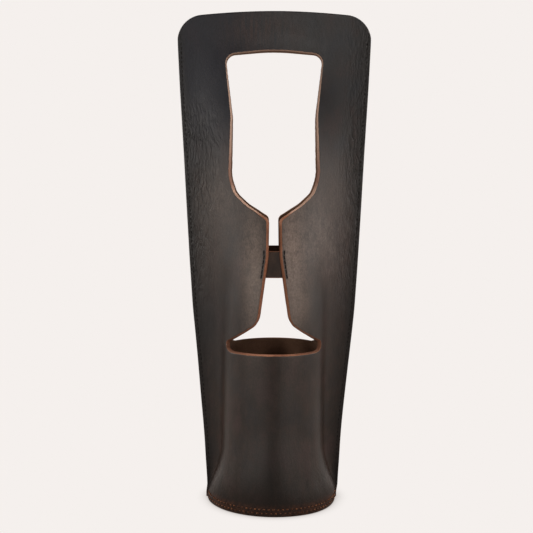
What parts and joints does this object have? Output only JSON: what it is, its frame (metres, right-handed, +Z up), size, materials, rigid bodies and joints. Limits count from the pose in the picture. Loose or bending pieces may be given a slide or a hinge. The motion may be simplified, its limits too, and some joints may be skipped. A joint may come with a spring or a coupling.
{
  "type": "leather bottle carrier",
  "caption": "Tall sewn leather carrier for a bottle: round base, flattened top with a hand hole, and a wine-glass shaped cut-out bridged by a strap.",
  "frame": {"origin": "middle of the standing ring under the base, on the surface it stands on", "axes": "+Z up along the carrier, +X to the right along the flat mouth, the front panel towards -Y"},
  "size_m": [0.147, 0.1038, 0.376],
  "materials": {
    "panel_leather": "waxed dark brown, satin",
    "base_leather": "waxed dark brown, satin",
    "strap_leather": "waxed dark brown, satin",
    "dark_thread": "waxed thread",
    "copper_thread": "waxed thread"
  },
  "bodies": {
    "root": {"front_panel": "panel_leather", "back_panel": "panel_leather", "base": "base_leather", "front_bridge_strap": "strap_leather", "back_bridge_strap": "strap_leather", "left_seam_thread": "dark_thread", "right_seam_thread": "dark_thread", "front_strap_thread_left": "dark_thread", "front_strap_thread_right": "dark_thread", "back_strap_thread_left": "dark_thread", "back_strap_thread_right": "dark_thread", "base_thread_lower": "copper_thread", "base_thread_upper": "copper_thread"}
  },
  "joints": []
}
